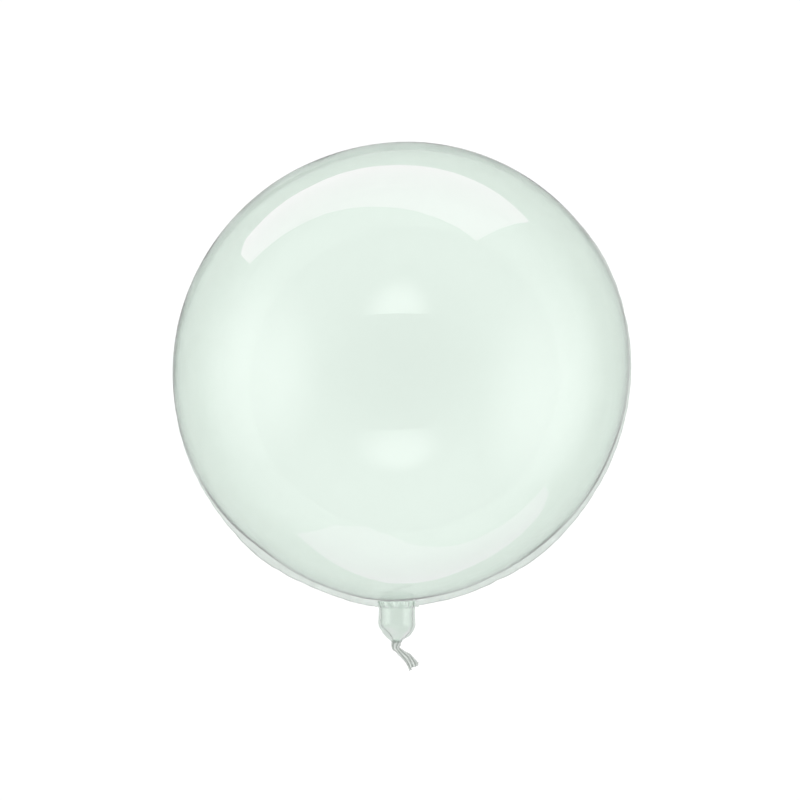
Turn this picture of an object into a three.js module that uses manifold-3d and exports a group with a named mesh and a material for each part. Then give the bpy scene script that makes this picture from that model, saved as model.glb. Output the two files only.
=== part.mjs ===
// Clear bubble balloon, lying on its side.
//
// Millimetres, +Z up. The origin is the middle of the small flat spot that the balloon rests on.
// Two panels of clear film are welded together round a level seam, at the height of the bubble's
// middle. The neck leaves the seam along -Y, with the gathered tail of film on its end.
// The envelope is one sealed piece of film, so it is one solid of the envelope's outer shape.

import * as THREE from 'three';
import { mergeVertices } from 'three/addons/utils/BufferGeometryUtils.js';
import Module from 'manifold-3d';

// Bubble: a sphere drawn slightly oval at the seam, and drawn out a little towards the neck.
const BUBBLE_RADIUS = 228.5;
const OVAL_STRETCH = 2.3;
const OVAL_DIRECTION = THREE.MathUtils.degToRad(37);
const FLARE_HEIGHT = 4.5;
const FLARE_SPREAD = THREE.MathUtils.degToRad(20);
const BUBBLE_SIDES = 80;
const BUBBLE_ROWS = 38;

// Resting spot: the bubble is pressed flat this deep where it lies.
const RESTING_DEPTH = 1;
const CENTRE_HEIGHT = BUBBLE_RADIUS - RESTING_DEPTH;

// Seam: both panels carry on past the weld as a trimmed edge. The trim is wider in places, each
// given by its direction from the neck (positive towards +X), its extra width and its spread.
const SEAM_WIDTH = 3.8;
const SEAM_THICKNESS = 0.8;
const SEAM_SWELLS = [
  { direction: 36, extra: 2.0, spread: 11 },
  { direction: 120, extra: 2.4, spread: 13 },
  { direction: -12, extra: 0.8, spread: 12 },
  { direction: -37, extra: 4.2, spread: 10 },
];
const SEAM_STEPS = 120;

// Neck: a short bulb of film, puckered where it leaves the bubble and drawn in to a throat. Its
// axis is a little to the -X side. Each row holds the distance along the neck from the bubble,
// how far the bulb reaches to the -X and +X side of the axis, and how wide the trimmed seam is
// beside it on each side. The first rows are under the bubble's own seam and have none.
const NECK_OFFSET = -3.6;
const NECK_START = BUBBLE_RADIUS + 2.5;
const NECK_ROOT_DEPTH = 9;
const NECK_SIDES = 44;
const NECK_ROWS = [
  { along: -NECK_ROOT_DEPTH, left: 26.0, right: 26.0, seamLeft: 0.0, seamRight: 0.0 },
  { along: 1.0, left: 20.2, right: 19.4, seamLeft: 0.0, seamRight: 0.0 },
  { along: 4.5, left: 18.6, right: 17.8, seamLeft: 0.0, seamRight: 0.0 },
  { along: 7.5, left: 17.0, right: 16.5, seamLeft: 2.2, seamRight: 2.2 },
  { along: 12.0, left: 16.4, right: 15.8, seamLeft: 1.8, seamRight: 2.0 },
  { along: 18.0, left: 16.2, right: 15.6, seamLeft: 2.4, seamRight: 2.2 },
  { along: 24.5, left: 16.4, right: 16.0, seamLeft: 2.2, seamRight: 2.2 },
  { along: 28.0, left: 14.0, right: 15.2, seamLeft: 3.4, seamRight: 2.2 },
  { along: 31.0, left: 10.8, right: 13.8, seamLeft: 4.6, seamRight: 2.2 },
  { along: 34.0, left: 7.8, right: 11.2, seamLeft: 5.8, seamRight: 2.8 },
  { along: 37.0, left: 5.6, right: 8.0, seamLeft: 5.2, seamRight: 2.8 },
  { along: 39.5, left: 4.6, right: 5.0, seamLeft: 3.6, seamRight: 1.4 },
  { along: 42.0, left: 4.7, right: 4.3, seamLeft: 0.0, seamRight: 0.0 },
];
const NECK_SEAM_FROM = 3;
const PUCKER_COUNT = 11;
const PUCKER_DEPTH = 0.9;
const PUCKER_MIDDLE = 3.5;
const PUCKER_REACH = 4.5;

// Tail: the film's open end, gathered in pleats, turned aside and a little wider at its end.
// Each stop of its way holds the offset from the neck's axis, the distance along the neck and
// how far the tail has dropped below the seam's plane.
const TAIL_WAY = [
  { x: -0.3, along: 39.5, drop: 0 },
  { x: -0.8, along: 44.0, drop: 0 },
  { x: -0.3, along: 48.0, drop: 0.2 },
  { x: 3.2, along: 52.3, drop: 0.8 },
  { x: 7.8, along: 56.2, drop: 1.6 },
  { x: 11.9, along: 60.4, drop: 2.4 },
  { x: 16.0, along: 68.0, drop: 3.6 },
];
const TAIL_HALF_WIDTH = { throat: 5.0, bend: 3.9, end: 5.6 };
const TAIL_BEND_AT = 0.38;
const TAIL_FLATNESS = 0.62;
const TAIL_PLEATS = 5;
const TAIL_PLEAT_DEPTH = 0.15;
const TAIL_TWIST = THREE.MathUtils.degToRad(70);
const TAIL_SIDES = 30;
const TAIL_STEPS = 14;

const FILM_COLOUR = 0xdbf0e3;
const FILM_ROUGHNESS = 0.12;

const wasm = await Module();
wasm.setup();

/** Turns a closed three.js geometry into a solid that can be joined and cut. */
function solidFrom(geometry) {
  const bare = geometry.clone();
  bare.deleteAttribute('normal');
  bare.deleteAttribute('uv');
  const merged = mergeVertices(bare);
  const corners = merged.index.array;
  const kept = [];
  for (let i = 0; i < corners.length; i += 3) {
    const [a, b, c] = [corners[i], corners[i + 1], corners[i + 2]];
    if (a !== b && b !== c && c !== a) {
      kept.push(a, b, c);
    }
  }
  const mesh = new wasm.Mesh({
    numProp: 3,
    vertProperties: new Float32Array(merged.attributes.position.array),
    triVerts: new Uint32Array(kept),
  });
  return new wasm.Manifold(mesh);
}

/** Turns a finished solid back into a three.js geometry. */
function geometryFrom(solid) {
  const mesh = solid.getMesh();
  const geometry = new THREE.BufferGeometry();
  geometry.setAttribute('position', new THREE.BufferAttribute(mesh.vertProperties, mesh.numProp));
  geometry.setIndex(new THREE.BufferAttribute(mesh.triVerts, 1));
  geometry.computeVertexNormals();
  return geometry;
}

/** A smooth swell: 1 at no distance, falling away over the given spread. */
function swell(distance, spread) {
  return Math.exp(-((distance / spread) ** 2));
}

/** The bubble's radius at an angle from the neck's direction, before it is drawn oval. */
function bubbleRadiusAt(angle) {
  return BUBBLE_RADIUS + FLARE_HEIGHT * swell(angle, FLARE_SPREAD);
}

/** The stretch that makes the round bubble slightly oval in the plane of the seam. */
function ovalStretch() {
  const turn = new THREE.Matrix4().makeRotationZ(OVAL_DIRECTION);
  const turnBack = turn.clone().invert();
  const longer = 1 + OVAL_STRETCH / BUBBLE_RADIUS;
  const shorter = 1 - OVAL_STRETCH / BUBBLE_RADIUS;
  const stretch = new THREE.Matrix4().makeScale(longer, shorter, 1);
  return turn.multiply(stretch).multiply(turnBack);
}

/** A point of the seam's plane, at an angle from the neck's direction and past the weld. */
function seamPoint(angle, pastWeld) {
  const reach = bubbleRadiusAt(Math.abs(angle)) + pastWeld;
  const point = new THREE.Vector3(reach * Math.sin(angle), -reach * Math.cos(angle), 0);
  return point.applyMatrix4(ovalStretch());
}

/** How far the trimmed edge stands past the weld at an angle from the neck's direction. */
function seamWidthAt(angle) {
  const degrees = THREE.MathUtils.radToDeg(angle);
  return SEAM_SWELLS.reduce(
    (width, place) => width + place.extra * swell(degrees - place.direction, place.spread),
    SEAM_WIDTH,
  );
}

/** The bubble, turned round the balloon's long axis. */
function bubble() {
  const profile = [];
  for (let row = 0; row <= BUBBLE_ROWS; row += 1) {
    const angle = (Math.PI * row) / BUBBLE_ROWS;
    const radius = bubbleRadiusAt(angle);
    const fromAxis = row === 0 || row === BUBBLE_ROWS ? 0 : radius * Math.sin(angle);
    profile.push(new THREE.Vector2(fromAxis, -radius * Math.cos(angle)));
  }
  return new THREE.LatheGeometry(profile, BUBBLE_SIDES).applyMatrix4(ovalStretch());
}

/** The neck's bulb, its rings shifted aside where one shoulder is fuller than the other. */
function neck() {
  const rings = [...NECK_ROWS].reverse();
  const first = rings[0];
  const last = rings[rings.length - 1];
  const profile = [new THREE.Vector2(0, -NECK_START - first.along)];
  for (const ring of rings) {
    profile.push(new THREE.Vector2((ring.left + ring.right) / 2, -NECK_START - ring.along));
  }
  profile.push(new THREE.Vector2(0, -NECK_START - last.along));
  const shifts = [first, ...rings, last].map((ring) => (ring.right - ring.left) / 2);

  const geometry = new THREE.LatheGeometry(profile, NECK_SIDES);
  const position = geometry.attributes.position;
  for (let i = 0; i < position.count; i += 1) {
    const x = position.getX(i);
    const z = position.getZ(i);
    const along = -position.getY(i) - NECK_START;
    const turn = Math.atan2(z, x);
    const ripple = PUCKER_DEPTH * swell(along - PUCKER_MIDDLE, PUCKER_REACH) * Math.cos(PUCKER_COUNT * turn);
    const radius = Math.hypot(x, z);
    const grown = radius > 0 ? (radius + ripple) / radius : 1;
    position.setX(i, x * grown + shifts[i % profile.length] + NECK_OFFSET);
    position.setZ(i, z * grown);
  }
  return geometry;
}

/** The trimmed edge of both panels round the bubble and down both sides of the neck. */
function seamEdge() {
  const outline = [];
  const sides = NECK_ROWS.slice(NECK_SEAM_FROM);
  const top = sides[0];
  const neckRight = Math.asin((top.right + top.seamRight + NECK_OFFSET) / BUBBLE_RADIUS);
  const neckLeft = Math.asin((top.left + top.seamLeft - NECK_OFFSET) / BUBBLE_RADIUS);
  for (let step = 0; step <= SEAM_STEPS; step += 1) {
    const angle = neckRight + ((2 * Math.PI - neckRight - neckLeft) * step) / SEAM_STEPS;
    const fromNeck = angle > Math.PI ? angle - 2 * Math.PI : angle;
    outline.push(seamPoint(fromNeck, seamWidthAt(fromNeck)));
  }
  for (const row of sides) {
    outline.push({ x: NECK_OFFSET - row.left - row.seamLeft, y: -NECK_START - row.along });
  }
  for (const row of [...sides].reverse()) {
    outline.push({ x: NECK_OFFSET + row.right + row.seamRight, y: -NECK_START - row.along });
  }
  const shape = new THREE.Shape(outline.map((point) => new THREE.Vector2(point.x, point.y)));
  const plate = new THREE.ExtrudeGeometry(shape, { depth: SEAM_THICKNESS, bevelEnabled: false });
  return plate.translate(0, 0, -SEAM_THICKNESS / 2);
}

/** Half the tail's width at a share of its length. */
function tailHalfWidthAt(share) {
  if (share < TAIL_BEND_AT) {
    return THREE.MathUtils.lerp(TAIL_HALF_WIDTH.throat, TAIL_HALF_WIDTH.bend, share / TAIL_BEND_AT);
  }
  const past = (share - TAIL_BEND_AT) / (1 - TAIL_BEND_AT);
  return THREE.MathUtils.lerp(TAIL_HALF_WIDTH.bend, TAIL_HALF_WIDTH.end, Math.sqrt(past));
}

/** The pleated tail, swept along its way from the throat. */
function tail() {
  const points = TAIL_WAY.map(
    (stop) => new THREE.Vector3(NECK_OFFSET + stop.x, -NECK_START - stop.along, -stop.drop),
  );
  const way = new THREE.CatmullRomCurve3(points);
  const up = new THREE.Vector3(0, 0, 1);
  const geometry = new THREE.CylinderGeometry(1, 1, 1, TAIL_SIDES, TAIL_STEPS);
  const position = geometry.attributes.position;
  for (let i = 0; i < position.count; i += 1) {
    const share = 0.5 - position.getY(i);
    const x = position.getX(i);
    const z = position.getZ(i);
    const turn = Math.atan2(z, x);
    const pleat = 1 + TAIL_PLEAT_DEPTH * Math.cos(TAIL_PLEATS * (turn + TAIL_TWIST * share));
    const halfWidth = tailHalfWidthAt(share) * pleat;
    const side = way.getTangentAt(share).cross(up).normalize();
    const point = way.getPointAt(share);
    point.addScaledVector(side, -x * halfWidth);
    point.addScaledVector(up, z * halfWidth * TAIL_FLATNESS);
    position.setXYZ(i, point.x, point.y, point.z);
  }
  return geometry;
}

/** The block below the resting spot that flattens the bubble. */
function restingBlock() {
  const size = BUBBLE_RADIUS / 2;
  const block = new THREE.BoxGeometry(size, size, size);
  return block.translate(0, 0, -CENTRE_HEIGHT - size / 2);
}

const envelope = solidFrom(bubble())
  .add(solidFrom(seamEdge()))
  .add(solidFrom(neck()))
  .add(solidFrom(tail()))
  .subtract(solidFrom(restingBlock()));

const film = new THREE.MeshStandardMaterial({
  color: FILM_COLOUR,
  roughness: FILM_ROUGHNESS,
  metalness: 0,
  transparent: true,
  opacity: 0.35,
});

const filmEnvelope = new THREE.Mesh(geometryFrom(envelope), film);
filmEnvelope.name = 'film_envelope';
filmEnvelope.position.set(0, 0, CENTRE_HEIGHT);

const balloon = new THREE.Group();
balloon.add(filmEnvelope);

export default balloon;
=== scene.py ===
"""The looks of the clear bubble balloon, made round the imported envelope.

The envelope is film that is blown, welded and gathered. It is made here as four pieces, which meet
where the real film is creased or welded: the blown bubble, the blown neck, the trimmed edge of the
weld, and the gathered tail. Sizes are in metres unless a class says otherwise, in the frame of the
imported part: +Z up, the neck along -Y, the seam level at the bubble's middle.
"""

import logging
import math
from dataclasses import dataclass, replace
from enum import Enum
from typing import Callable

import bmesh
import bpy
from mathutils import Matrix, Vector, noise


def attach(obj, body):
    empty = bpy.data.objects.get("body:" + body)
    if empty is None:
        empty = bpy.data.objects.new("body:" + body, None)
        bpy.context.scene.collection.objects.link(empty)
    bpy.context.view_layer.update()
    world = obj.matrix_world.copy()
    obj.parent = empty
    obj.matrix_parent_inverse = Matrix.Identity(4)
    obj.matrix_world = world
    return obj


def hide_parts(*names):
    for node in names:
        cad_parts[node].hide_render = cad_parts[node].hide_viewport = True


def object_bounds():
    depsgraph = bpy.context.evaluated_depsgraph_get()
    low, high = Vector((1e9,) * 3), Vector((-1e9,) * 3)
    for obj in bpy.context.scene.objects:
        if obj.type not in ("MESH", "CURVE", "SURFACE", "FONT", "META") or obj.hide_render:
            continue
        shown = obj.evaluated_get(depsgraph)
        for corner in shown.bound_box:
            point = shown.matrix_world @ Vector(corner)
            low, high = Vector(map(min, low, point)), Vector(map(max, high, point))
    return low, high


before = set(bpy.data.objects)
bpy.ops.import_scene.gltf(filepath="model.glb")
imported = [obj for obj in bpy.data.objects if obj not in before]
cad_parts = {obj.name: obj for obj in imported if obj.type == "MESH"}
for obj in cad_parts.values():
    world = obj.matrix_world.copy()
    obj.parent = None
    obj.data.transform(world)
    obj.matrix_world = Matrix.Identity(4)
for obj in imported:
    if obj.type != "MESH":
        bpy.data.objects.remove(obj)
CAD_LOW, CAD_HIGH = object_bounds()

BODY = "root"
NODE = "film_envelope"
MM = 0.001
TOUCHING = 0.01 * MM
ON_SEAM = 0.001 * MM
SAME_SHARE = 1e-6
NOISE_MIDDLE = (0.3, 0.7)
INWARDS = -1
BOTH_WAYS = 0
log = logging.getLogger("balloon")

Span = tuple[float, float]
Colour = tuple[float, float, float]


def swell(distance: float, spread: float) -> float:
    """A smooth swell: 1 at no distance, falling away over the given spread."""
    return math.exp(-((distance / spread) ** 2))


def smooth_step(low: float, high: float, value: float) -> float:
    """Rises smoothly from 0 at low to 1 at high.

    Args:
        low: Where the rise starts.
        high: Where the rise ends.
        value: Where it is read.

    Returns:
        The height of the rise, from 0 to 1.
    """
    share = min(max((value - low) / (high - low), 0.0), 1.0)
    return share * share * (3 - 2 * share)


def blend(start: float, end: float, share: float) -> float:
    """The number that lies at a share of the way from start to end."""
    return start + (end - start) * share


class Stretch(Enum):
    """The two stretches of the blown film, either side of the neck's root."""

    BUBBLE = "blown_bubble"
    NECK = "blown_neck"


class Trim(Enum):
    """The stretches of the welded seam, which are trimmed in different ways."""

    BUBBLE = "bubble"
    COLLAR = "collar"
    NECK = "neck"


@dataclass(frozen=True)
class NeckRow:
    """One ring of the neck, in millimetres from the neck's root and from its axis."""

    along: float
    left: float
    right: float
    seam_left: float
    seam_right: float


@dataclass(frozen=True)
class Swelling:
    """A place on the seam, in degrees from the neck towards +X, and how the film differs there."""

    direction: float
    extra: float
    spread: float


def summed(swellings: tuple[Swelling, ...], direction: float) -> float:
    """How much all swellings together add, in metres, at an angle in radians from the neck."""
    degrees = math.degrees(direction)
    return MM * sum(s.extra * swell(degrees - s.direction, s.spread) for s in swellings)


@dataclass
class EnvelopeShape:
    """The outline of the film, worked out from named sizes."""

    radius: float = 228.5 * MM
    resting_depth: float = 1.0 * MM
    oval_stretch: float = 2.3 * MM
    oval_direction: float = math.radians(37)
    flare_height: float = 4.5 * MM
    flare_spread: float = math.radians(20)
    neck_offset: float = -4.1 * MM
    neck_start: float = 231.0 * MM
    neck_root_radius: float = 20.5 * MM
    collar_end: float = 7.0 * MM
    throat: float = 42.0 * MM
    neck_end: float = 42.4 * MM
    rows: tuple[NeckRow, ...] = (
        NeckRow(1.0, 18.9, 18.4, 0.0, 0.0),
        NeckRow(4.0, 18.5, 18.0, 0.0, 0.0),
        NeckRow(6.2, 18.0, 17.5, 1.5, 1.5),
        NeckRow(7.8, 16.5, 16.1, 1.9, 1.9),
        NeckRow(12.0, 16.4, 15.8, 1.8, 2.0),
        NeckRow(18.0, 16.2, 15.6, 2.4, 2.2),
        NeckRow(24.5, 16.4, 16.0, 2.2, 2.2),
        NeckRow(28.0, 14.0, 15.2, 3.4, 2.2),
        NeckRow(31.0, 10.8, 13.8, 4.6, 2.2),
        NeckRow(34.0, 7.8, 11.2, 5.8, 2.8),
        NeckRow(37.0, 5.6, 8.0, 5.2, 2.8),
        NeckRow(39.5, 4.6, 5.0, 3.4, 1.4),
        NeckRow(41.2, 4.5, 4.4, 1.4, 0.5),
        NeckRow(42.4, 4.5, 4.3, 0.4, 0.4),
    )
    seam_width: float = 3.8
    seam_swellings: tuple[Swelling, ...] = (
        Swelling(36, 2.0, 11),
        Swelling(122, 1.0, 10),
        Swelling(88, -0.9, 18),
        Swelling(-12, 0.8, 12),
        Swelling(-37, 4.6, 10),
        Swelling(4, 2.2, 34),
        Swelling(-122, 1.8, 6),
    )

    @property
    def centre(self) -> Vector:
        """The middle of the bubble, above the resting spot."""
        return Vector((0, 0, CAD_HIGH.z - self.radius))

    def bubble_radius_at(self, angle: float) -> float:
        """The bubble's radius at an angle from the neck's direction."""
        return self.radius + self.flare_height * swell(angle, self.flare_spread)

    def neck_size(self, along: float, read: Callable[[NeckRow], float]) -> float:
        """One size of the neck at a distance from its root, on a smooth curve through its rows.

        Args:
            along: The distance from the neck's root, in metres.
            read: Which size of a row is wanted.

        Returns:
            The size in metres.
        """
        place = min(max(along / MM, self.rows[0].along), self.rows[-1].along)
        after = next(i for i, row in enumerate(self.rows) if row.along >= place)
        after = max(after, 1)
        near = [self.rows[min(max(after + k, 0), len(self.rows) - 1)] for k in (-2, -1, 0, 1)]
        gap = near[2].along - near[1].along
        share = (place - near[1].along) / gap
        slopes = []
        for before, _, beyond in (near[:3], near[1:]):
            span = max(beyond.along - before.along, gap)
            slopes.append((read(beyond) - read(before)) / span * gap)
        return MM * (
            (2 * share**3 - 3 * share**2 + 1) * read(near[1])
            + (share**3 - 2 * share**2 + share) * slopes[0]
            + (3 * share**2 - 2 * share**3) * read(near[2])
            + (share**3 - share**2) * slopes[1]
        )

    def neck_radius(self, along: float) -> float:
        """The mean radius of the neck at a distance from its root."""
        return self.neck_size(along, lambda row: (row.left + row.right) / 2)

    def neck_shift(self, along: float) -> float:
        """How far the neck's ring is shifted towards +X at a distance from its root."""
        return self.neck_offset + self.neck_size(along, lambda row: (row.right - row.left) / 2)

    def oval_shift(self, spot: Vector) -> Vector:
        """How far the bubble's slightly oval outline moves a point of the round one.

        Args:
            spot: The point, from the bubble's middle.

        Returns:
            The move, level with the seam.
        """
        heading = math.atan2(spot.y, spot.x)
        stretch = self.oval_stretch * math.cos(2 * (heading - self.oval_direction)) / self.radius
        return Vector((stretch * spot.x, stretch * spot.y, 0))

    def trim_width(self, direction: float) -> float:
        """How far the trimmed edge stands past the weld round the bubble.

        Args:
            direction: The angle from the neck towards +X, in radians.

        Returns:
            The width in metres.
        """
        return self.seam_width * MM + summed(self.seam_swellings, direction)


@dataclass
class BlownFilm:
    """The film of the bubble and its neck: a hollow skin, blown from two welded panels."""

    shape: EnvelopeShape
    thickness: float = 0.2 * MM
    bubble_rows: int = 220
    sides: int = 160
    neck_step: float = 0.6 * MM
    pinch_radius: float = 5.0 * MM
    fold: tuple[Span, ...] = (
        (5.0 * MM, 2.20 * MM),
        (11.0 * MM, 1.98 * MM),
        (15.6 * MM, 1.70 * MM),
        (18.0 * MM, 1.60 * MM),
        (18.6 * MM, 2.1 * MM),
    )
    seam_gather: float = 0.72
    gather_fades: Span = (math.radians(6), math.radians(16))
    crimp_depth: float = 0.32 * MM
    crimp_reach: float = 9.0 * MM
    crimp_starts: Span = (0.1, 0.25)
    crimp_waves: tuple[Span, ...] = ((13.7 * MM, 0.4), (8.9 * MM, 1.9), (31.0 * MM, 0.9))
    tucks: tuple[Swelling, ...] = (
        Swelling(24.5, 0.7, 1.4),
        Swelling(-31.5, 0.5, 1.4),
        Swelling(-45.0, 0.5, 1.6),
        Swelling(58.0, 0.5, 1.5),
        Swelling(104.0, 0.5, 1.6),
    )
    dents: tuple[Swelling, ...] = (Swelling(-38, 2.0, 8), Swelling(-156, 0.8, 10), Swelling(72, 0.6, 12))
    dent_reach: float = 90 * MM
    pucker_count: int = 11
    pucker_sharpness: float = 0.35
    pucker_depth: float = 1.1 * MM
    pucker_middle: float = 4.2 * MM
    pucker_reach: float = 3.4 * MM
    gather_starts: Span = (1.9 * MM, 3.2 * MM)
    # The gathering is partly the gathered film's own tint and partly painted shade, darker between the
    # puckers and in each crease.
    mean_gather_and_shade: float = 0.30
    pucker_shade_contrast: float = 0.40
    # How strongly each pucker's top is cleared as a painted highlight.
    crest_highlight_gain: float = 1.4
    crease_shades: tuple[tuple[float, float, float], ...] = (
        (7.5 * MM, 0.8 * MM, 0.7),
        (41.4 * MM, 1.4 * MM, 0.95),
    )
    pucker_starts: Span = (6 * MM, 16 * MM)
    oval_fades: Span = (2.2 * MM, 7.0 * MM)
    unevenness: float = 0.22 * MM
    unevenness_size: float = 70 * MM

    def profile(self) -> list[tuple[Vector, float]]:
        """The outline from the crown to the neck's closed end.

        Returns:
            Points of the outline, each with its way: how far it is from the neck's root, positive
            round the bubble and negative down the neck.
        """
        shape = self.shape
        root = math.asin(self.pinch_radius / shape.bubble_radius_at(0))
        points = []
        for row in range(self.bubble_rows + 1):
            angle = blend(math.pi, root, row / self.bubble_rows)
            radius = shape.bubble_radius_at(angle)
            across = radius * math.sin(angle) if row else 0.0
            points.append((Vector((across, -radius * math.cos(angle), 0)), angle * shape.radius))
        for across, along in self.fold:
            points.append((Vector((across, -shape.neck_start - along, 0)), -along))
        first = self.fold[-1][1] + self.neck_step
        steps = round((shape.neck_end - first) / self.neck_step)
        for step in range(steps + 1):
            along = blend(first, shape.neck_end, step / steps)
            points.append((Vector((shape.neck_radius(along), -shape.neck_start - along, 0)), -along))
        points.append((Vector((0, -shape.neck_start - shape.neck_end, 0)), -shape.neck_end))
        return points

    def crimp(self, direction: float) -> float:
        """How deep the weld's crimps draw the film in.

        Args:
            direction: The place along the seam, as an angle from the neck towards +X.

        Returns:
            The depth in metres.
        """
        way = direction * self.shape.radius
        wave = sum(math.cos(math.tau * way / length + turn) for length, turn in self.crimp_waves)
        depth = self.crimp_depth * (0.5 + 0.5 * wave / len(self.crimp_waves))
        return depth + summed(self.tucks, direction)

    def bubble_point(self, spot: Vector) -> Vector:
        """Where a point of the turned bubble lies on the real one.

        Args:
            spot: The point on the turned shape, from the bubble's middle.

        Returns:
            The point, gathered to the seam, drawn oval and crimped.
        """
        shape = self.shape
        angle = math.atan2(math.hypot(spot.x, spot.z), -spot.y)
        turn = math.atan2(spot.z, spot.x)
        gather = self.seam_gather * smooth_step(*self.gather_fades, angle)
        moved = turn - gather * math.sin(2 * turn) / 2
        across = math.hypot(spot.x, spot.z)
        point = Vector((across * math.cos(moved), spot.y, across * math.sin(moved)))
        side = -1 if spot.x < 0 else 1
        reach = swell(point.z, self.crimp_reach) * smooth_step(*self.crimp_starts, angle)
        depth = self.crimp(side * angle) * reach
        depth += summed(self.dents, side * angle) * swell(point.z, self.dent_reach)
        uneven = self.unevenness * noise.noise(point / self.unevenness_size)
        point -= point.normalized() * (depth + self.unevenness / 2 - uneven / 2)
        point += shape.oval_shift(point)
        point.x += shape.neck_offset * (1 - smooth_step(*self.gather_fades, angle))
        point.z = max(point.z, shape.resting_depth - shape.radius)
        return point

    def ripple(self, spot: Vector) -> float:
        """How high a pucker stands at a point of the turned neck: highest on a crest, below 0 between."""
        turn = self.pucker_count * (math.atan2(spot.z, spot.x) - math.pi / 2)
        return math.cos(turn) - self.pucker_sharpness * math.cos(2 * turn)

    def gather_and_shade_at(self, spot: Vector) -> float:
        """How closely the film is gathered at a point of the turned neck, with painted shade added
        between the puckers and in each crease.

        Args:
            spot: The point on the turned shape, from the bubble's middle.

        Returns:
            The closeness with its painted shade, from 0 to 1.
        """
        along = -spot.y - self.shape.neck_start
        between = max(self.mean_gather_and_shade - self.pucker_shade_contrast * self.ripple(spot), 0.0)
        gathered = between * swell(along - self.pucker_middle, self.pucker_reach)
        gathered += sum(share * swell(along - middle, reach) for middle, reach, share in self.crease_shades)
        return min(gathered, 1.0) * smooth_step(*self.gather_starts, along)

    def unblown_less_crest_highlight_at(self, spot: Vector) -> float:
        """How little the film is stretched at a point of the turned neck, lowered on each pucker's top as
        a painted highlight.

        Args:
            spot: The point on the turned shape, from the bubble's middle.

        Returns:
            1 where it is not stretched, down to 0 on each pucker's top, where the clearer tint is a
            painted highlight.
        """
        along = -spot.y - self.shape.neck_start
        # Each pucker's top gets a clearer tint: a painted highlight.
        crest = max(self.ripple(spot), 0.0) * swell(along - self.pucker_middle, self.pucker_reach)
        return (1 - min(self.crest_highlight_gain * crest, 1.0)) * smooth_step(*self.gather_starts, along)

    def neck_point(self, spot: Vector) -> Vector:
        """Where a point of the turned neck lies on the real one.

        Args:
            spot: The point on the turned shape, from the bubble's middle.

        Returns:
            The point, puckered and shifted aside.
        """
        shape = self.shape
        along = -spot.y - shape.neck_start
        turn = math.atan2(spot.z, spot.x)
        across = math.hypot(spot.x, spot.z)
        depth = self.pucker_depth * swell(along - self.pucker_middle, self.pucker_reach)
        grown = across + depth * self.ripple(spot) * smooth_step(*self.pucker_starts, across)
        point = Vector((grown * math.cos(turn), spot.y, grown * math.sin(turn)))
        point += shape.oval_shift(point) * (1 - smooth_step(*self.oval_fades, along))
        point.x += shape.neck_shift(along)
        return point

    def skin(self) -> bmesh.types.BMesh:
        """The outer face of the film, with each point's way stored on it.

        Returns:
            A closed mesh round the bubble's middle, facing out.
        """
        mesh = bmesh.new()
        way = mesh.verts.layers.float.new("way")
        outline = []
        for spot, distance in self.profile():
            vert = mesh.verts.new(spot)
            vert[way] = distance
            outline.append(vert)
        edges = [mesh.edges.new(pair) for pair in zip(outline, outline[1:])]
        bmesh.ops.spin(
            mesh, geom=outline + edges, axis=(0, 1, 0), cent=(0, 0, 0), angle=math.tau,
            steps=self.sides, use_merge=True,
        )
        bmesh.ops.remove_doubles(mesh, verts=mesh.verts[:], dist=TOUCHING)
        bmesh.ops.recalc_face_normals(mesh, faces=mesh.faces[:])
        # Marks for the material: the neck's deeper tint, cleared on each pucker's top as a painted
        # highlight, and the gathering, with painted shade between the puckers and in each crease.
        unblown = mesh.verts.layers.float.new("unblown")
        gathered = mesh.verts.layers.float.new("gathered")
        for vert in mesh.verts:
            if vert[way] >= 0:
                vert.co = self.bubble_point(vert.co)
            else:
                vert[unblown] = self.unblown_less_crest_highlight_at(vert.co)
                vert[gathered] = self.gather_and_shade_at(vert.co)
                vert.co = self.neck_point(vert.co)
        return mesh

    def build(self, skin: bmesh.types.BMesh, stretch: Stretch) -> bpy.types.Object:
        """Gives one stretch of the skin its place and its thickness.

        Args:
            skin: The outer face of the film.
            stretch: Which stretch of it is wanted. Both end in the ring at the neck's root.

        Returns:
            The finished piece.
        """
        mesh = skin.copy()
        way = mesh.verts.layers.float["way"]
        ring = min(v[way] for v in mesh.verts if v[way] >= 0)
        if stretch is Stretch.BUBBLE:
            beyond = [v for v in mesh.verts if v[way] < ring - TOUCHING]
        else:
            beyond = [v for v in mesh.verts if v[way] > ring + TOUCHING]
        bmesh.ops.delete(mesh, geom=beyond, context="VERTS")
        bmesh.ops.translate(mesh, verts=mesh.verts[:], vec=self.shape.centre)
        return as_film(mesh, stretch.value, self.thickness, INWARDS)


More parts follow.
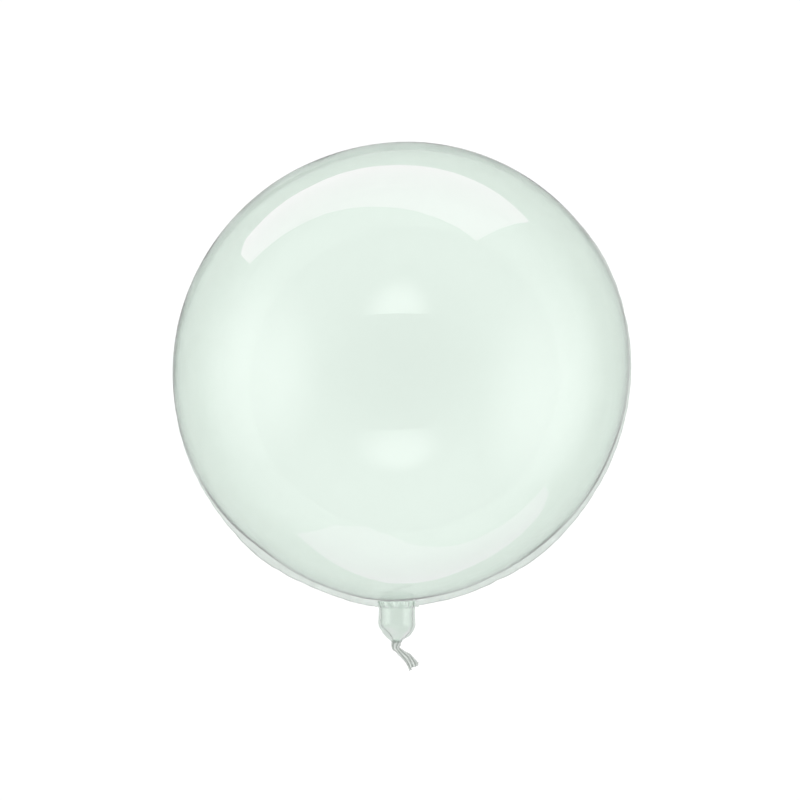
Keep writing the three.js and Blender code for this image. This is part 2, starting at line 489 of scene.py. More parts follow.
@dataclass
class WeldedEdge:
    """The trimmed edge of both panels, past the weld, round the bubble and down the neck."""

    shape: EnvelopeShape
    name: str = "welded_edge"
    thickness: float = 0.35 * MM
    shares: tuple[float, ...] = (0.3, 0.55, 0.8, 1.0)
    joint_reach: float = 17 * MM
    joint_end: float = 2.4 * MM
    narrowest: float = 0.4 * MM
    ripple_height: float = 0.4 * MM
    neck_calm: float = 3.0
    ripple_waves: tuple[Span, ...] = ((27 * MM, 0.3), (43 * MM, 2.1), (16 * MM, 4.0))
    nibble: float = 0.12 * MM
    nibble_wave: float = 21 * MM

    def trim(self, way: float) -> Trim:
        """Which stretch of the seam a point belongs to.

        Args:
            way: The point's way along the seam, below 0 down the neck.

        Returns:
            The stretch.
        """
        if way >= 0:
            return Trim.BUBBLE
        return Trim.COLLAR if -way < self.shape.collar_end else Trim.NECK

    def outer_point(self, root: Vector, way: float) -> Vector:
        """Where the trimmed edge lies beside a point of the weld.

        Args:
            root: The point on the weld.
            way: The point's way along the seam.

        Returns:
            The point on the trimmed edge.
        """
        shape = self.shape
        side = 1 if root.x > shape.neck_offset else -1
        trim = self.trim(way)
        angle = math.asin(shape.neck_root_radius / shape.bubble_radius_at(0))
        reach = shape.bubble_radius_at(0) + shape.trim_width(side * angle)
        top = Vector((side * reach * math.sin(angle) + shape.neck_offset, -reach * math.cos(angle), 0))
        if trim is Trim.BUBBLE and way < angle * shape.radius:
            return top
        if trim is Trim.BUBBLE:
            width = shape.trim_width(side * way / shape.radius)
            width += self.nibble * math.sin(math.tau * way / self.nibble_wave)
            return root + root.normalized() * width
        if trim is Trim.NECK:
            return Vector((root.x + side * self.neck_width(-way, side), root.y, root.z))
        start = self.joint_end
        share = (-way - start) / (shape.collar_end - start)
        wall = shape.neck_shift(shape.collar_end) + side * shape.neck_radius(shape.collar_end)
        foot = Vector((wall + side * self.neck_width(shape.collar_end, side), 0, 0))
        foot.y = -shape.neck_start - shape.collar_end
        return top.lerp(foot, share)

    def neck_width(self, along: float, side: int) -> float:
        """How wide the trimmed edge is beside the neck, on its -X (-1) or +X (1) side."""
        read = (lambda row: row.seam_right) if side > 0 else (lambda row: row.seam_left)
        return max(self.shape.neck_size(along, read), self.narrowest)

    def build(self, skin: bmesh.types.BMesh) -> bpy.types.Object:
        """Cuts the weld's line out of the film and draws the trimmed edge out from it.

        Args:
            skin: The outer face of the film.

        Returns:
            The finished piece.
        """
        mesh = skin.copy()
        bmesh.ops.bisect_plane(
            mesh, geom=mesh.verts[:] + mesh.edges[:] + mesh.faces[:], dist=ON_SEAM,
            plane_co=(0, 0, 0), plane_no=(0, 0, 1), clear_inner=True, clear_outer=True,
        )
        way = mesh.verts.layers.float["way"]
        beyond = [v for v in mesh.verts if v[way] <= -self.shape.throat]
        bmesh.ops.delete(mesh, geom=beyond, context="VERTS")
        folded = [v for v in mesh.verts if v[way] < self.joint_reach and -v[way] < self.joint_end]
        bmesh.ops.dissolve_verts(mesh, verts=folded)
        root = mesh.verts.layers.float_vector.new("root")
        share = mesh.verts.layers.float.new("share")
        for vert in mesh.verts:
            vert[root] = vert.co
        line = mesh.edges[:]
        for reach in self.shares:
            grown = bmesh.ops.extrude_edge_only(mesh, edges=line)["geom"]
            line = [g for g in grown if isinstance(g, bmesh.types.BMEdge)]
            for vert in (g for g in grown if isinstance(g, bmesh.types.BMVert)):
                start = Vector(vert[root])
                vert[share] = reach
                vert.co = start.lerp(self.outer_point(start, vert[way]), reach)
                vert.co.z += self.ripple(start, vert[way]) * reach
            line = [e for e in line if all(abs(v[share] - reach) < SAME_SHARE for v in e.verts)]
        bmesh.ops.recalc_face_normals(mesh, faces=mesh.faces[:])
        bmesh.ops.translate(mesh, verts=mesh.verts[:], vec=self.shape.centre)
        return as_film(mesh, self.name, self.thickness, BOTH_WAYS)

    def ripple(self, root: Vector, way: float) -> float:
        """How far the trimmed edge waves up or down beside a point of the weld.

        Args:
            root: The point on the weld.
            way: The point's way along the seam.

        Returns:
            The height above the seam's plane, in metres.
        """
        place = way if root.x > self.shape.neck_offset else math.tau * self.shape.radius - way
        wave = sum(math.sin(math.tau * place / length + turn) for length, turn in self.ripple_waves)
        calm = 1 if self.trim(way) is Trim.BUBBLE else self.neck_calm
        return self.ripple_height / calm * wave / len(self.ripple_waves)


@dataclass(frozen=True)
class RingWave:
    """A wave round the tail, which drifts round it as the tail goes on."""

    height: float
    count: int
    drift: float

    def phase(self, turn: float, share: float) -> float:
        """The wave's phase at a turn round the tail and a share of its length."""
        return self.count * turn + self.drift * share


@dataclass
class GatheredTail:
    """The film's open end: a pleated tube of film, turned aside and ragged at its tip."""

    shape: EnvelopeShape
    name: str = "gathered_tail"
    stops: tuple[tuple[float, float, float], ...] = (
        (-0.3, 40.6, 0.0),
        (-1.0, 44.0, 0.0),
        (-0.9, 47.6, 0.2),
        (2.0, 51.0, 0.8),
        (6.6, 55.0, 1.6),
        (11.8, 59.4, 2.4),
        (16.8, 66.8, 3.6),
    )
    last_share: float = 0.9999
    half_widths: tuple[Span, ...] = (
        (0.0, 3.6), (0.08, 4.7), (0.2, 5.3), (0.3, 4.6), (0.45, 3.2), (0.6, 3.6), (0.8, 5.2), (1.0, 6.2),
    )
    flatness: float = 0.58
    pleats: int = 7
    pleat_depth: float = 0.36
    pleats_begin: Span = (0.0, 0.12)
    sways: tuple[RingWave, ...] = (RingWave(1.5, 1, 3), RingWave(0.8, 2, 5))
    fading: RingWave = RingWave(0.3, 2, 7)
    fine_pleats: RingWave = RingWave(0.25, 14, 9)
    twist: float = math.radians(110)
    sides: int = 144
    steps: int = 60
    thickness: float = 0.15 * MM
    tip_lobe: float = 0.9 * MM
    tip_waves: tuple[tuple[float, int, float], ...] = ((1.0, 3, 0.7), (0.5, 7, 2.0))
    tip_begins: Span = (0.7, 1.0)

    def way(self, share: float) -> tuple[Vector, Vector]:
        """The middle line of the tail.

        Args:
            share: The share of the tail's length.

        Returns:
            The point there, and the direction in which the tail goes on.
        """
        spots = [Vector((x, -along, -drop)) * MM for x, along, drop in self.stops]
        place = min(share, self.last_share) * (len(spots) - 1)
        index = int(place)
        near = [spots[min(max(index + k, 0), len(spots) - 1)] for k in (-1, 0, 1, 2)]
        t = place - index
        point = 0.5 * (
            2 * near[1]
            + (near[2] - near[0]) * t
            + (2 * near[0] - 5 * near[1] + 4 * near[2] - near[3]) * t**2
            + (3 * near[1] - near[0] - 3 * near[2] + near[3]) * t**3
        )
        slope = (
            (near[2] - near[0])
            + 2 * (2 * near[0] - 5 * near[1] + 4 * near[2] - near[3]) * t
            + 3 * (3 * near[1] - near[0] - 3 * near[2] + near[3]) * t**2
        )
        return point, slope.normalized()

    def half_width(self, share: float) -> float:
        """Half the tail's width.

        Args:
            share: The share of the tail's length.

        Returns:
            The half width in metres.
        """
        for (low, start), (high, end) in zip(self.half_widths, self.half_widths[1:]):
            if share <= high:
                return MM * blend(start, end, smooth_step(low, high, share))
        return MM * self.half_widths[-1][1]

    def tube(self) -> bmesh.types.BMesh:
        """Draws a ring out step by step.

        Returns:
            A tube along +Z, open at both ends, with a length and a radius of 1.
        """
        mesh = bmesh.new()
        bmesh.ops.create_circle(mesh, cap_ends=False, segments=self.sides, radius=1)
        line = mesh.edges[:]
        for _ in range(self.steps):
            grown = bmesh.ops.extrude_edge_only(mesh, edges=line)["geom"]
            line = [g for g in grown if isinstance(g, bmesh.types.BMEdge)]
            tips = [g for g in grown if isinstance(g, bmesh.types.BMVert)]
            bmesh.ops.translate(mesh, verts=tips, vec=(0, 0, 1 / self.steps))
            line = [e for e in line if abs(e.verts[0].co.z - e.verts[1].co.z) < 0.1 / self.steps]
        return mesh

    def fold(self, turn: float, share: float) -> float:
        """How high the pleats stand, which wander, fade and come back as the tail goes on.

        Args:
            turn: The place round the tail, in radians, turned with its twist.
            share: The share of the tail's length.

        Returns:
            The height, about 1 on a crest and about -1 in a valley.
        """
        sway = sum(wave.height * math.sin(wave.phase(turn, share)) for wave in self.sways)
        fading = self.fading.height * math.cos(self.fading.phase(turn, share))
        fold = math.cos(self.pleats * turn + sway) * (1 - self.fading.height + fading)
        return fold + self.fine_pleats.height * math.cos(self.fine_pleats.phase(turn, share))

    def laid(self, spot: Vector, turn: float, fold: float) -> Vector:
        """Where a point of the plain tube lies on the tail.

        Args:
            spot: The point on the tube.
            turn: Its place round the tube, in radians.
            fold: How high the pleats stand there.

        Returns:
            The point, from the bubble's middle.
        """
        share = spot.z
        depth = self.pleat_depth * smooth_step(*self.pleats_begin, share)
        half = self.half_width(share) * (1 - depth / 2 + depth / 2 * fold)
        middle, heading = self.way(share)
        side = heading.cross(Vector((0, 0, 1))).normalized()
        lift = side.cross(heading).normalized()
        point = middle + Vector((self.shape.neck_offset, -self.shape.neck_start, 0))
        point += side * (spot.x * half)
        point += lift * (spot.y * half * self.flatness)
        lobe = sum(height * math.sin(count * turn + phase) for height, count, phase in self.tip_waves)
        point += heading * (self.tip_lobe * lobe * smooth_step(*self.tip_begins, share))
        return point

    def build(self) -> bpy.types.Object:
        """Pleats a tube of film and lays it along the tail's way.

        Returns:
            The finished piece.
        """
        mesh = self.tube()
        # This mark gives the pleats their painted light and shade.
        crest = mesh.verts.layers.float.new("crest")
        for vert in mesh.verts:
            turn = math.atan2(vert.co.y, vert.co.x)
            fold = self.fold(turn + self.twist * vert.co.z, vert.co.z)
            vert[crest] = 0.5 + 0.5 * fold
            vert.co = self.laid(vert.co, turn, fold)
        bmesh.ops.recalc_face_normals(mesh, faces=mesh.faces[:])
        bmesh.ops.translate(mesh, verts=mesh.verts[:], vec=self.shape.centre)
        return as_film(mesh, self.name, self.thickness, INWARDS)


def as_piece(mesh: bmesh.types.BMesh, name: str) -> bpy.types.Object:
    """Turns a finished mesh into a smooth object at the origin.

    Args:
        mesh: The mesh, in its place. It is used up.
        name: The object's name.

    Returns:
        The object.
    """
    data = bpy.data.meshes.new(name)
    mesh.to_mesh(data)
    mesh.free()
    data.shade_smooth()
    piece = bpy.data.objects.new(name, data)
    bpy.context.scene.collection.objects.link(piece)
    return piece


def as_film(mesh: bmesh.types.BMesh, name: str, thickness: float, offset: int) -> bpy.types.Object:
    """Turns a finished skin into an object with the film's thickness.

    Args:
        mesh: The skin, in its place. It is used up.
        name: The object's name.
        thickness: The film's thickness in metres.
        offset: Which way the thickness goes: INWARDS or BOTH_WAYS.

    Returns:
        The object.
    """
    piece = as_piece(mesh, name)
    wall = piece.modifiers.new("film", "SOLIDIFY")
    wall.thickness = thickness
    wall.offset = offset
    return piece


class NodeSheet:
    """The nodes of one material, laid out by short calls."""

    def __init__(self, name: str) -> None:
        """Starts an empty material with a Principled shader on its output.

        Args:
            name: The material's name.
        """
        self.material = bpy.data.materials.new(name)
        self.material.use_nodes = True
        self.tree = self.material.node_tree
        self.tree.nodes.clear()
        self.output = self.tree.nodes.new("ShaderNodeOutputMaterial")
        self.shader = self.tree.nodes.new("ShaderNodeBsdfPrincipled")
        self.tree.links.new(self.shader.outputs["BSDF"], self.output.inputs["Surface"])
        self.coordinates = self.tree.nodes.new("ShaderNodeTexCoord")

    def add(self, kind: str, **settings: object) -> bpy.types.Node:
        """Adds a node.

        Args:
            kind: The node's type.
            **settings: The properties to set on it.

        Returns:
            The node.
        """
        node = self.tree.nodes.new(kind)
        for key, value in settings.items():
            setattr(node, key, value)
        return node

    def link(self, source: bpy.types.NodeSocket, target: bpy.types.NodeSocket) -> None:
        """Joins two sockets."""
        self.tree.links.new(source, target)

    def noise(self, size: float, detail: float = 2.0) -> bpy.types.NodeSocket:
        """A noise over the object.

        Args:
            size: The size of its blotches in metres.
            detail: How many finer layers it has.

        Returns:
            The noise's value.
        """
        texture = self.add("ShaderNodeTexNoise")
        texture.inputs["Scale"].default_value = 1 / size
        texture.inputs["Detail"].default_value = detail
        self.link(self.coordinates.outputs["Object"], texture.inputs["Vector"])
        return texture.outputs["Fac"]

    def spread(self, value: bpy.types.NodeSocket, low: float, high: float) -> bpy.types.NodeSocket:
        """Maps the middle of a noise onto a range.

        Args:
            value: The noise's value.
            low: The low end of the range.
            high: The high end of the range.

        Returns:
            The mapped value.
        """
        node = self.add("ShaderNodeMapRange")
        node.inputs["From Min"].default_value = NOISE_MIDDLE[0]
        node.inputs["From Max"].default_value = NOISE_MIDDLE[1]
        node.inputs["To Min"].default_value = low
        node.inputs["To Max"].default_value = high
        self.link(value, node.inputs["Value"])
        return node.outputs["Result"]

    def rise(self, value: bpy.types.NodeSocket, line: Span) -> bpy.types.NodeSocket:
        """Rises smoothly from 0 to 1 as a value goes over a range.

        Args:
            value: The value.
            line: The range.

        Returns:
            The height of the rise.
        """
        node = self.add("ShaderNodeMapRange", interpolation_type="SMOOTHSTEP")
        node.inputs["From Min"].default_value = line[0]
        node.inputs["From Max"].default_value = line[1]
        self.link(value, node.inputs["Value"])
        return node.outputs["Result"]

    def facing(self) -> bpy.types.NodeSocket:
        """How far the face is turned away from the line of sight, from 0 to 1."""
        return self.add("ShaderNodeLayerWeight").outputs["Facing"]

    def attribute(self, name: str) -> bpy.types.NodeSocket:
        """Reads a number that is stored on the mesh."""
        return self.add("ShaderNodeAttribute", attribute_name=name).outputs["Fac"]

    def mix(
        self,
        first: tuple[float, ...] | bpy.types.NodeSocket,
        second: tuple[float, ...],
        share: bpy.types.NodeSocket,
    ) -> bpy.types.NodeSocket:
        """Mixes two colours.

        Args:
            first: The colour, or the socket that gives it, where the share is 0.
            second: The colour where the share is 1.
            share: The share of the second colour.

        Returns:
            The mixed colour.
        """
        node = self.add("ShaderNodeMix", data_type="RGBA")
        start, end = (s for s in node.inputs if s.type == "RGBA")
        if isinstance(first, bpy.types.NodeSocket):
            self.link(first, start)
        else:
            start.default_value = (*first, 1)
        end.default_value = (*second, 1)
        self.link(share, next(s for s in node.inputs if s.name == "Factor" and s.type == "VALUE"))
        return next(s for s in node.outputs if s.type == "RGBA")

    def bump(self, size: float, height: float) -> None:
        """Lays a bump on the shader, over any bump that is already there.

        Args:
            size: The size of its waves in metres.
            height: Their height in metres.
        """
        node = self.add("ShaderNodeBump")
        node.inputs["Distance"].default_value = height
        self.link(self.noise(size, detail=1.0), node.inputs["Height"])
        normal = self.shader.inputs["Normal"]
        if normal.is_linked:
            self.link(normal.links[0].from_socket, node.inputs["Normal"])
        self.link(node.outputs["Normal"], normal)


@dataclass(frozen=True)
class Clarity:
    """How clear and smooth a film is. It is smoother and rougher in blotches of the grain's size."""

    transmission: float
    ior: float
    roughness: Span
    grain: float

    def give(self, sheet: NodeSheet, tint: bpy.types.NodeSocket) -> bpy.types.Material:
        """Gives a sheet its colour and this clarity.

        Args:
            sheet: The material's sheet.
            tint: The film's colour.

        Returns:
            The finished material.
        """
        shader = sheet.shader
        sheet.link(tint, shader.inputs["Base Color"])
        sheet.link(sheet.spread(sheet.noise(self.grain), *self.roughness), shader.inputs["Roughness"])
        shader.inputs["Transmission Weight"].default_value = self.transmission
        shader.inputs["IOR"].default_value = self.ior
        return sheet.material


@dataclass(frozen=True)
class FilmFinish:
    """Clear film with a faint green tint, deeper on the neck, where the film was never stretched. Towards
    the outline the tint darkens, partly the film's real deeper tint where it slants and mostly painted
    shade, ending in a painted dark line at the very edge. On the neck each pucker's top is cleared as a
    painted highlight, and the film between the puckers and in each crease is darkened as painted shade.

    Each of its waves is a size and a height, in metres.
    """

    name: str = "clear_film"
    blown: Colour = (0.886, 0.944, 0.904)
    # Painted shade towards the outline, partly the film's real deeper tint where it slants, then a
    # painted dark line at the very edge.
    rim_tint_and_painted_shade: Colour = (0.792, 0.860, 0.813)
    limb_painted_shade: Colour = (0.74, 0.85, 0.785)
    unblown: Colour = (0.785, 0.842, 0.803)
    # Partly the gathered film's own tint, partly painted shade between the puckers and in each crease.
    gathered: Colour = (0.66, 0.73, 0.685)
    rim_shade_line: Span = (0.28, 0.6)
    limb_shade_line: Span = (0.66, 0.93)
    waves: tuple[Span, ...] = ((90 * MM, 0.5 * MM), (20 * MM, 0.004 * MM))
    clarity: Clarity = Clarity(1.0, 1.45, (0.012, 0.04), 50 * MM)
    neck_ior: float = 1.3

    @classmethod
    def for_neck(cls) -> "FilmFinish":
        """The film of the neck, which mirrors less than the bubble's."""
        return cls("neck_film", clarity=replace(cls.clarity, ior=cls.neck_ior))

    def make(self) -> bpy.types.Material:
        """Makes the material.

        Returns:
            The material.
        """
        sheet = NodeSheet(self.name)
        facing = sheet.facing()
        # Painted shade towards the outline, partly the film's real deeper tint where it slants, then a
        # painted dark line at the very edge.
        tint = sheet.mix(self.blown, self.rim_tint_and_painted_shade, sheet.rise(facing, self.rim_shade_line))
        tint = sheet.mix(tint, self.limb_painted_shade, sheet.rise(facing, self.limb_shade_line))
        # The neck's deeper tint, cleared on each pucker's top as a painted highlight.
        tint = sheet.mix(tint, self.unblown, sheet.attribute("unblown"))
        # The gathered tint, with painted shade between the puckers and in each crease.
        tint = sheet.mix(tint, self.gathered, sheet.attribute("gathered"))
        for size, height in self.waves:
            sheet.bump(size, height)
        return self.clarity.give(sheet, tint)


@dataclass(frozen=True)
class EdgeFinish:
    """Two layers of film sealed together, greyer along the cut, with a painted shadow, nearly black, in
    the crease at the throat.
    """

    name: str = "welded_film"
    sealed: Colour = (0.71, 0.765, 0.73)
    clouded: Colour = (0.63, 0.68, 0.645)
    cut: Colour = (0.60, 0.64, 0.61)
    # Painted shadow, nearly black, where the film is cinched at the throat.
    throat: Colour = (0.12, 0.14, 0.13)
    neck: Colour = (0.62, 0.68, 0.64)
    cut_line: Span = (0.78, 1.0)
    throat_shadow_line: Span = (0.75, 0.9)
    cloud_size: float = 12 * MM
    wave: Span = (8 * MM, 0.01 * MM)
    clarity: Clarity = Clarity(0.9, 1.3, (0.04, 0.10), 8 * MM)

    def make(self) -> bpy.types.Material:
        """Makes the material.

        Returns:
            The material.
        """
        sheet = NodeSheet(self.name)
        tint = sheet.mix(self.sealed, self.clouded, sheet.spread(sheet.noise(self.cloud_size), 0, 1))
        # The neck's tone follows the mark that is cleared on each pucker's top as a painted highlight.
        tint = sheet.mix(tint, self.neck, sheet.attribute("unblown"))
        tint = sheet.mix(tint, self.cut, sheet.rise(sheet.attribute("share"), self.cut_line))
        # Painted shadow in the crease at the throat.
        tint = sheet.mix(tint, self.throat, sheet.rise(sheet.attribute("gathered"), self.throat_shadow_line))
        sheet.bump(*self.wave)
        return self.clarity.give(sheet, tint)


@dataclass(frozen=True)
class TailFinish:
    """Film gathered in many layers, which together look grey and only half clear. Each pleat carries a
    painted highlight on its crest and painted shade in its valley, and the tail's edges carry painted
    shade.
    """

    name: str = "gathered_film"
    # A painted highlight on each pleat's crest and painted shade in each pleat's valley.
    crest_highlight_tint: Colour = (0.80, 0.83, 0.805)
    valley_shade_tint: Colour = (0.38, 0.41, 0.385)
    clouded: Colour = (0.58, 0.62, 0.59)
    # Painted shade along the tail's edges, where they turn away.
    sides: Colour = (0.20, 0.21, 0.20)
    pleat_light_and_shade_line: Span = (0.25, 0.9)
    edge_shade_line: Span = (0.35, 0.85)
    cloud_size: float = 4 * MM
    cloud_share: float = 0.5
    wave: Span = (1.6 * MM, 0.04 * MM)
    clarity: Clarity = Clarity(0.6, 1.45, (0.08, 0.22), 4 * MM)

    def make(self) -> bpy.types.Material:
        """Makes the material.

        Returns:
            The material.
        """
        sheet = NodeSheet(self.name)
        clouds = sheet.spread(sheet.noise(self.cloud_size), 0, self.cloud_share)
        # Painted light and shade of the pleats.
        tint = sheet.mix(self.valley_shade_tint, self.crest_highlight_tint, sheet.rise(sheet.attribute("crest"), self.pleat_light_and_shade_line))
        tint = sheet.mix(tint, self.clouded, clouds)
        # Painted shade along the tail's edges.
        tint = sheet.mix(tint, self.sides, sheet.rise(sheet.facing(), self.edge_shade_line))
        sheet.bump(*self.wave)
        return self.clarity.give(sheet, tint)


@dataclass(frozen=True)
class Panel:
    """A flat soft light, given by its corners, with a glow that fades from its middle if it has one."""

    name: str
    corners: tuple[tuple[float, float, float], ...]
    strength: float
    middle: tuple[float, float, float] = (0, 0, 0)
    reach: tuple[float, float, float] | None = None
    softness: float = 1.0
    colour: Colour = (1.0, 1.0, 1.0)


def level_with(sight: Vector) -> tuple[Vector, Vector]:
    """The directions to the right of and up from a line of sight, with +Y upmost.

    Args:
        sight: The direction from what is seen to the eye.

    Returns:
        Both directions.
    """
    across = Vector((0, 1, 0)).cross(sight).normalized()
    return across, sight.cross(across)


@dataclass
class Studio:
    """The pale floor, the soft lights and the camera."""

    shape: EnvelopeShape
    floor_gap: float = 0.4 * MM
    floor_radius: float = 6.0
    floor_sides: int = 96
    floor_tones: tuple[Colour, Colour] = ((0.90, 0.90, 0.90), (0.92, 0.92, 0.92))
    floor_cloud: float = 0.4
    floor_roughness: float = 0.8
    floor_specular: float = 0.1
    lamp_height: float = 3.5
    lamp_size: float = 2.0
    lamp_power: float = 99.0
    room: tuple[Span, ...] = (
        (-1.0, 0.44), (-0.6, 0.46), (-0.4, 0.56), (-0.2, 0.62), (0.5, 0.60), (0.75, 0.42), (0.88, 0.25),
        (0.97, 0.14),
    )
    distance_in_radii: float = 6.5
    view_depth: float = 30.0
    lean_to_neck: float = math.radians(6.5)
    lean_to_side: float = math.radians(2.5)
    lens: float = 65.9
    aim: Span = (-1.2 * MM, -30.65 * MM)
    clear_bounces: int = 24
    mirror_bounces: int = 8
    panels: tuple[Panel, ...] = (
        Panel(
            "arch_panel",
            (
                (0.517, 0.6, 0.205), (0.384, 0.6, 0.625), (0.247, 0.6, 0.580), (-0.121, 0.6, 0.488),
                (-0.520, 0.6, 0.381), (-0.842, 0.6, 0.281), (-0.80, 0.6, 0.10), (-0.688, 0.6, 0.045),
                (-0.283, 0.6, 0.142), (0.0, 0.6, 0.186),
            ),
            1.9, colour=(1.0, 0.60, 0.86),
        ),
        Panel(
            "low_arch_panel",
            (
                (-0.385, -0.6, 0.13), (-0.26, -0.6, 0.06), (-0.15, -0.6, 0.01), (-0.04, -0.6, -0.05),
                (0.09, -0.6, -0.075), (0.30, -0.6, -0.10), (0.60, -0.6, -0.11), (0.72, -0.6, -0.03),
                (0.74, -0.6, 0.08), (0.50, -0.6, 0.13), (0.33, -0.6, 0.16), (0.20, -0.6, 0.20),
                (0.06, -0.6, 0.28), (-0.02, -0.6, 0.34), (-0.12, -0.6, 0.39), (-0.24, -0.6, 0.35),
            ),
            0.75, colour=(1.0, 0.44, 0.88),
        ),
        Panel(
            "overhead_far_panel",
            ((-0.9, 0.60, 2.0), (1.0, 0.60, 2.0), (1.0, 1.8, 2.0), (-0.9, 1.8, 2.0)),
            2.8, middle=(0.03, 0.66, 2.0), reach=(0.60, 0.72, 1.0), softness=0.78,
        ),
        Panel(
            "overhead_near_panel",
            ((-1.2, -1.18, 2.0), (1.4, -1.18, 2.0), (1.4, -4.0, 2.0), (-1.2, -4.0, 2.0)),
            2.2, middle=(0.07, -1.74, 2.0), reach=(1.0, 1.0, 1.0), softness=0.78,
        ),
        Panel(
            "left_panel",
            ((-0.9, -1.0, -0.4), (-0.9, 1.0, -0.4), (-0.9, 1.0, 1.9), (-0.9, -1.0, 1.9)),
            1.8, middle=(-0.9, -0.06, 0.85), reach=(1.0, 0.85, 0.95),
        ),
        Panel(
            "right_panel",
            ((0.8, -1.2, -0.5), (0.8, 0.9, -0.5), (0.8, 0.9, 1.7), (0.8, -1.2, 1.7)),
            1.85, middle=(0.8, -0.22, 0.60), reach=(1.0, 0.85, 0.75),
        ),
    )

    def place_camera(self) -> None:
        """Looks down on the lying balloon, from a little beyond its neck."""
        toward = Vector((math.sin(self.lean_to_side), -math.sin(self.lean_to_neck), 0))
        toward.z = math.sqrt(1 - toward.length_squared)
        place = self.shape.centre + toward * (self.distance_in_radii * self.shape.radius)
        across, upward = level_with(toward)
        target = self.shape.centre + across * self.aim[0] + upward * self.aim[1]
        back = (place - target).normalized()
        across, upward = level_with(back)
        data = bpy.data.cameras.new("camera")
        data.lens = self.lens
        data.clip_end = self.view_depth
        camera = bpy.data.objects.new("camera", data)
        turn = Matrix((across, upward, back)).transposed().to_4x4()
        camera.matrix_world = Matrix.Translation(place) @ turn
        bpy.context.scene.collection.objects.link(camera)
        bpy.context.scene.camera = camera

    def lay_floor(self) -> None:
        """Lays a plain pale floor just under the resting spot."""
        mesh = bmesh.new()
        bmesh.ops.create_circle(mesh, cap_ends=True, segments=self.floor_sides, radius=self.floor_radius)
        bmesh.ops.translate(mesh, verts=mesh.verts[:], vec=(0, 0, -self.floor_gap))
        floor = as_piece(mesh, "floor")
        sheet = NodeSheet("pale_floor")
        tone = sheet.mix(*self.floor_tones, sheet.spread(sheet.noise(self.floor_cloud), 0, 1))
        sheet.link(tone, sheet.shader.inputs["Base Color"])
        sheet.shader.inputs["Roughness"].default_value = self.floor_roughness
        sheet.shader.inputs["Specular IOR Level"].default_value = self.floor_specular
        floor.data.materials.append(sheet.material)
        floor.visible_glossy = False

    def set_world(self) -> None:
        """Fills the room with soft light, dim overhead and brighter all round."""
        world = bpy.data.worlds.new("room")
        world.use_nodes = True
        tree = world.node_tree
        background = tree.nodes["Background"]
        coordinates = tree.nodes.new("ShaderNodeTexCoord")
        parts = tree.nodes.new("ShaderNodeSeparateXYZ")
        height = tree.nodes.new("ShaderNodeMapRange")
        height.inputs["From Min"].default_value = -1
        ramp = tree.nodes.new("ShaderNodeValToRGB")
        ramp.color_ramp.interpolation = "B_SPLINE"
        elements = ramp.color_ramp.elements
        first_stops = len(elements)
        for index, (level, glow) in enumerate(self.room):
            position = (level + 1) / 2
            stop = elements[index] if index < first_stops else elements.new(position)
            stop.position = position
            stop.color = (glow, glow, glow, 1)
        tree.links.new(coordinates.outputs["Generated"], parts.inputs["Vector"])
        tree.links.new(parts.outputs["Z"], height.inputs["Value"])
        tree.links.new(height.outputs["Result"], ramp.inputs["Fac"])
        tree.links.new(ramp.outputs["Color"], background.inputs["Color"])
        bpy.context.scene.world = world

    def hang_lights(self) -> None:
        """Hangs the lamp for the floor and stands up the panels that the film mirrors."""
        data = bpy.data.lights.new("overhead", "AREA")
        data.shape = "DISK"
        data.size = self.lamp_size
        data.energy = self.lamp_power
        lamp = bpy.data.objects.new("overhead", data)
        lamp.location = (0, 0, self.lamp_height)
        lamp.visible_glossy = False
        lamp.visible_camera = False
        lamp.visible_transmission = False
        bpy.context.scene.collection.objects.link(lamp)
        for panel in self.panels:
            self.stand_panel(panel)

    def stand_panel(self, panel: Panel) -> None:
        """Stands up one glowing panel, which only the film's outer face mirrors.

        Args:
            panel: The panel.
        """
        mesh = bmesh.new()
        mesh.faces.new([mesh.verts.new(corner) for corner in panel.corners])
        bmesh.ops.triangulate(mesh, faces=mesh.faces[:])
        board = as_piece(mesh, panel.name)
        sheet = NodeSheet(panel.name)
        glow = sheet.add("ShaderNodeEmission")
        clear = sheet.add("ShaderNodeBsdfTransparent")
        both = sheet.add("ShaderNodeAddShader")
        sheet.link(glow.outputs["Emission"], both.inputs[0])
        sheet.link(clear.outputs["BSDF"], both.inputs[1])
        sheet.link(both.outputs["Shader"], sheet.output.inputs["Surface"])
        glow.inputs["Color"].default_value = (*panel.colour, 1)
        glow.inputs["Strength"].default_value = panel.strength
        if panel.reach is not None:
            mapping = sheet.add("ShaderNodeMapping", vector_type="TEXTURE")
            mapping.inputs["Location"].default_value = panel.middle
            mapping.inputs["Scale"].default_value = panel.reach
            ball = sheet.add("ShaderNodeTexGradient", gradient_type="SPHERICAL")
            fade = sheet.add("ShaderNodeMapRange", interpolation_type="SMOOTHSTEP")
            fade.inputs["From Max"].default_value = panel.softness
            fade.inputs["To Max"].default_value = panel.strength
            sheet.link(sheet.coordinates.outputs["Object"], mapping.inputs["Vector"])
            sheet.link(mapping.outputs["Vector"], ball.inputs["Vector"])
            sheet.link(ball.outputs["Fac"], fade.inputs["Value"])
            sheet.link(fade.outputs["Result"], glow.inputs["Strength"])
        board.data.materials.append(sheet.material)
        board.visible_camera = False
        board.visible_diffuse = False
        board.visible_transmission = False
        board.visible_shadow = False

    def set_up(self) -> None:
        """Sets up the whole studio."""
        self.place_camera()
        self.lay_floor()
        self.set_world()
        self.hang_lights()
        scene = bpy.context.scene
        scene.view_settings.view_transform = "Standard"
        scene.cycles.max_bounces = self.clear_bounces
        scene.cycles.transmission_bounces = self.clear_bounces
        scene.cycles.glossy_bounces = self.mirror_bounces


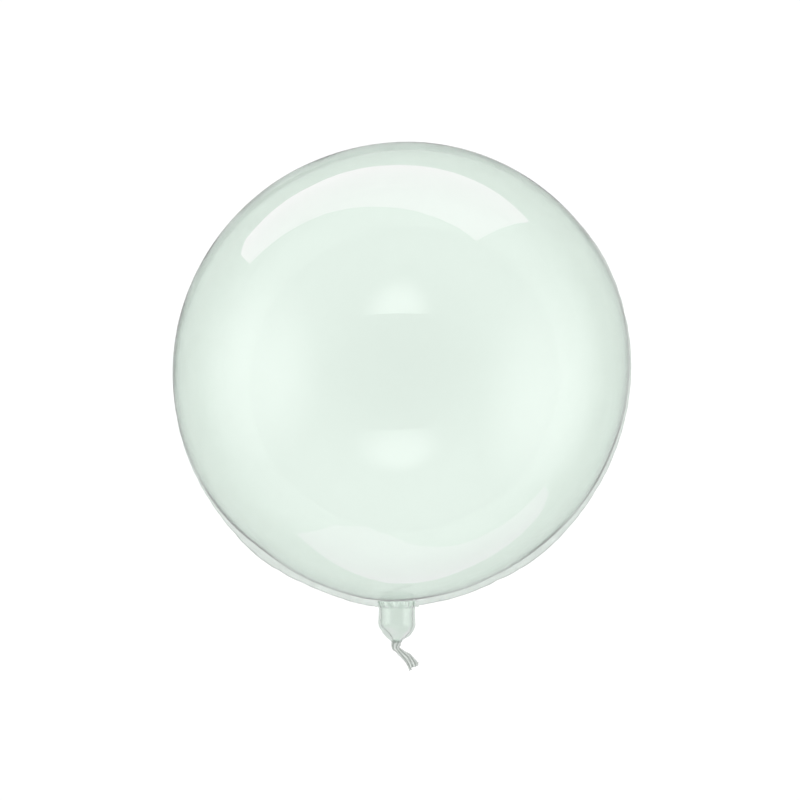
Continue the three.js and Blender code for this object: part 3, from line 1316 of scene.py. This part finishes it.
def dress(piece: bpy.types.Object, material: bpy.types.Material, mirrored: bool = False) -> None:
    """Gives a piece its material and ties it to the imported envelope.

    Args:
        piece: The finished piece.
        material: Its material.
        mirrored: Whether the film round it mirrors it.
    """
    piece.data.materials.append(material)
    piece.visible_glossy = mirrored
    piece.visible_shadow = False
    piece.visible_diffuse = False
    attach(piece, BODY)
    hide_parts(NODE)
    log.info("%s: %d faces", piece.name, len(piece.data.polygons))


def main() -> None:
    """Builds the studio and the balloon's four pieces."""
    logging.basicConfig(level=logging.INFO, format="%(name)s: %(message)s")
    shape = EnvelopeShape()
    Studio(shape).set_up()
    film = BlownFilm(shape)
    skin = film.skin()
    dress(film.build(skin, Stretch.BUBBLE), FilmFinish().make(), mirrored=True)
    dress(film.build(skin, Stretch.NECK), FilmFinish.for_neck().make())
    dress(WeldedEdge(shape).build(skin), EdgeFinish().make())
    dress(GatheredTail(shape).build(), TailFinish().make())
    skin.free()


if __name__ == "__main__":
    main()
